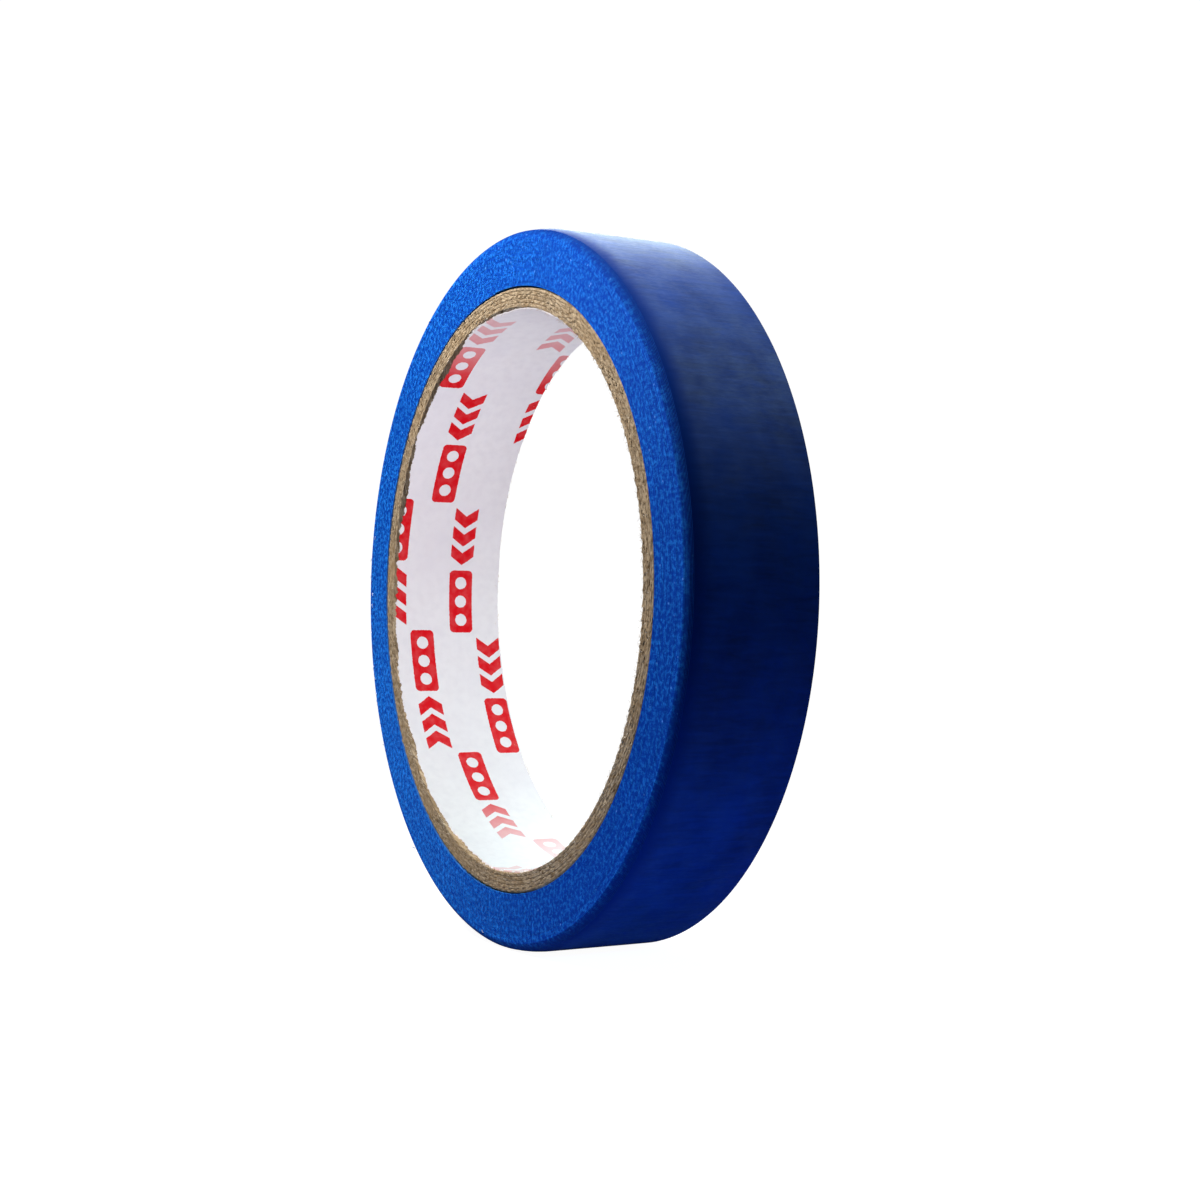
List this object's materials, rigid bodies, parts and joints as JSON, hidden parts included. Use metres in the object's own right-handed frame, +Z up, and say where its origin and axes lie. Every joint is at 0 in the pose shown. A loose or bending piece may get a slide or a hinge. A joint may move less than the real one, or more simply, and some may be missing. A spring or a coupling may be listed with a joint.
{
  "type": "masking tape roll",
  "caption": "Roll of blue crepe masking tape on a paper-lined cardboard core, standing on its rim, with a free end that peels up.",
  "frame": {"origin": "on the roll's axis, halfway across the width of the strip", "axes": "+Y along the roll's axis, from the front side face to the back one; +Z up with the roll standing on the flat of its rim; the free end of the tape is on the -X side"},
  "size_m": [0.0977, 0.018, 0.0977],
  "materials": {
    "liner_paper": "matte white paper with a red print",
    "kraft_board": "raw slit kraft board",
    "blue_crepe": "matte crepe paper, satin on the outside, slit edges brighter"
  },
  "bodies": {
    "root": {"core_liner": "liner_paper", "core_ply_1": "kraft_board", "core_ply_2": "kraft_board", "core_ply_3": "kraft_board", "core_ply_4": "kraft_board", "core_ply_5": "kraft_board", "tape_winding": "blue_crepe"},
    "peel_1": {"tape_end_1": "blue_crepe"},
    "peel_2": {"tape_end_2": "blue_crepe"},
    "peel_3": {"tape_end_3": "blue_crepe"},
    "peel_4": {"tape_end_4": "blue_crepe"},
    "peel_5": {"tape_end_5": "blue_crepe"},
    "peel_6": {"tape_end_6": "blue_crepe"}
  },
  "joints": [
    {"name": "tape_end_peel", "type": "hinge", "parent": "root", "child": "peel_1", "pos_m": [-0.01173, 0, 0.04752], "axis": [0, 1, 0], "range_deg": [0, 18]},
    {"name": "tape_end_curl_2", "type": "hinge", "parent": "peel_1", "child": "peel_2", "pos_m": [-0.01745, 0, 0.04573], "axis": [0, 1, 0], "range_deg": [0, 18]},
    {"name": "tape_end_curl_3", "type": "hinge", "parent": "peel_2", "child": "peel_3", "pos_m": [-0.02291, 0, 0.04326], "axis": [0, 1, 0], "range_deg": [0, 18]},
    {"name": "tape_end_curl_4", "type": "hinge", "parent": "peel_3", "child": "peel_4", "pos_m": [-0.02803, 0, 0.04013], "axis": [0, 1, 0], "range_deg": [0, 18]},
    {"name": "tape_end_curl_5", "type": "hinge", "parent": "peel_4", "child": "peel_5", "pos_m": [-0.03272, 0, 0.0364], "axis": [0, 1, 0], "range_deg": [0, 18]},
    {"name": "tape_end_curl_6", "type": "hinge", "parent": "peel_5", "child": "peel_6", "pos_m": [-0.03693, 0, 0.03213], "axis": [0, 1, 0], "range_deg": [0, 18]}
  ],
  "couplings": [
    {"joint": "tape_end_curl_2", "follows": "tape_end_peel", "ratio": 1},
    {"joint": "tape_end_curl_3", "follows": "tape_end_peel", "ratio": 1},
    {"joint": "tape_end_curl_4", "follows": "tape_end_peel", "ratio": 1},
    {"joint": "tape_end_curl_5", "follows": "tape_end_peel", "ratio": 1},
    {"joint": "tape_end_curl_6", "follows": "tape_end_peel", "ratio": 1}
  ]
}
